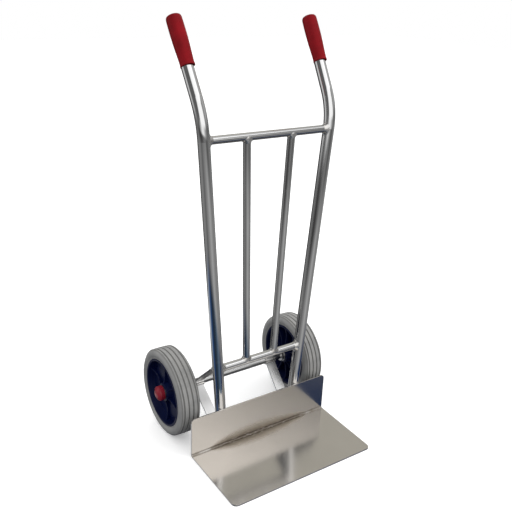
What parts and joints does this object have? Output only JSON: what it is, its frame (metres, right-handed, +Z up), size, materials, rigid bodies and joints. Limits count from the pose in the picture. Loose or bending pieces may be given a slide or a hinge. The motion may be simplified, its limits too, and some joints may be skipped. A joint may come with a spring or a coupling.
{
  "type": "hand truck",
  "caption": "Upright two-wheeled hand truck: splayed bright tube frame with crossbars, wide bent toe plate, backward handles with grips, solid tyres on a plain axle.",
  "frame": {"origin": "on the floor, at the middle of the truck's overall width and depth", "axes": "+Z up, +X to the right seen from the toe plate's side, -Y towards the toe plate's front edge, +Y towards the wheels"},
  "size_m": [0.5136, 0.498, 1.1346],
  "materials": {
    "plate_steel": "satin stainless sheet with soft mirror reflections",
    "tube_steel": "polished stainless tube",
    "strut_steel": "satin stainless flat bar",
    "axle_steel": "drawn stainless round bar",
    "weld_steel": "bright brushed weld bead",
    "small_steel": "zinc-plated steel",
    "grip_rubber": "soft red handle grip, slight sheen",
    "cap_plastic": "moulded red plastic",
    "tyre_rubber": "solid grey non-marking rubber",
    "rim_plastic": "moulded dark blue plastic",
    "cage_plastic": "natural nylon",
    "roller_steel": "ground bearing steel"
  },
  "bodies": {
    "frame": {"toe_plate": "plate_steel", "side_tube_left": "tube_steel", "side_tube_right": "tube_steel", "upper_crossbar": "tube_steel", "lower_crossbar": "tube_steel", "inner_bar_left": "tube_steel", "inner_bar_right": "tube_steel", "upper_strut_left": "strut_steel", "upper_strut_right": "strut_steel", "lower_strut_left": "strut_steel", "lower_strut_right": "strut_steel", "axle": "axle_steel", "frame_welds": "weld_steel", "strut_welds": "weld_steel", "toe_plate_welds": "weld_steel", "grip_left": "grip_rubber", "grip_right": "grip_rubber", "axle_clamp_rings": "small_steel", "thrust_washers": "small_steel", "stop_collars": "small_steel", "hub_cap_left": "cap_plastic", "hub_cap_right": "cap_plastic"},
    "left_wheel": {"tyre_left": "tyre_rubber", "wheel_rim_left": "rim_plastic", "bearing_sleeve_left": "small_steel"},
    "right_wheel": {"tyre_right": "tyre_rubber", "wheel_rim_right": "rim_plastic", "bearing_sleeve_right": "small_steel"},
    "left_bearing": {"bearing_cage_left": "cage_plastic", "bearing_rollers_left": "roller_steel"},
    "right_bearing": {"bearing_cage_right": "cage_plastic", "bearing_rollers_right": "roller_steel"}
  },
  "joints": [
    {"name": "left_wheel_spin", "type": "hinge", "parent": "frame", "child": "left_wheel", "pos_m": [-0.21, 0.124, 0.125], "axis": [1, 0, 0], "continuous": true},
    {"name": "right_wheel_spin", "type": "hinge", "parent": "frame", "child": "right_wheel", "pos_m": [0.21, 0.124, 0.125], "axis": [1, 0, 0], "continuous": true},
    {"name": "left_bearing_spin", "type": "hinge", "parent": "frame", "child": "left_bearing", "pos_m": [-0.21, 0.124, 0.125], "axis": [1, 0, 0], "continuous": true},
    {"name": "right_bearing_spin", "type": "hinge", "parent": "frame", "child": "right_bearing", "pos_m": [0.21, 0.124, 0.125], "axis": [1, 0, 0], "continuous": true}
  ],
  "couplings": [
    {"joint": "left_bearing_spin", "follows": "left_wheel_spin", "ratio": 0.6},
    {"joint": "right_bearing_spin", "follows": "right_wheel_spin", "ratio": 0.6}
  ]
}
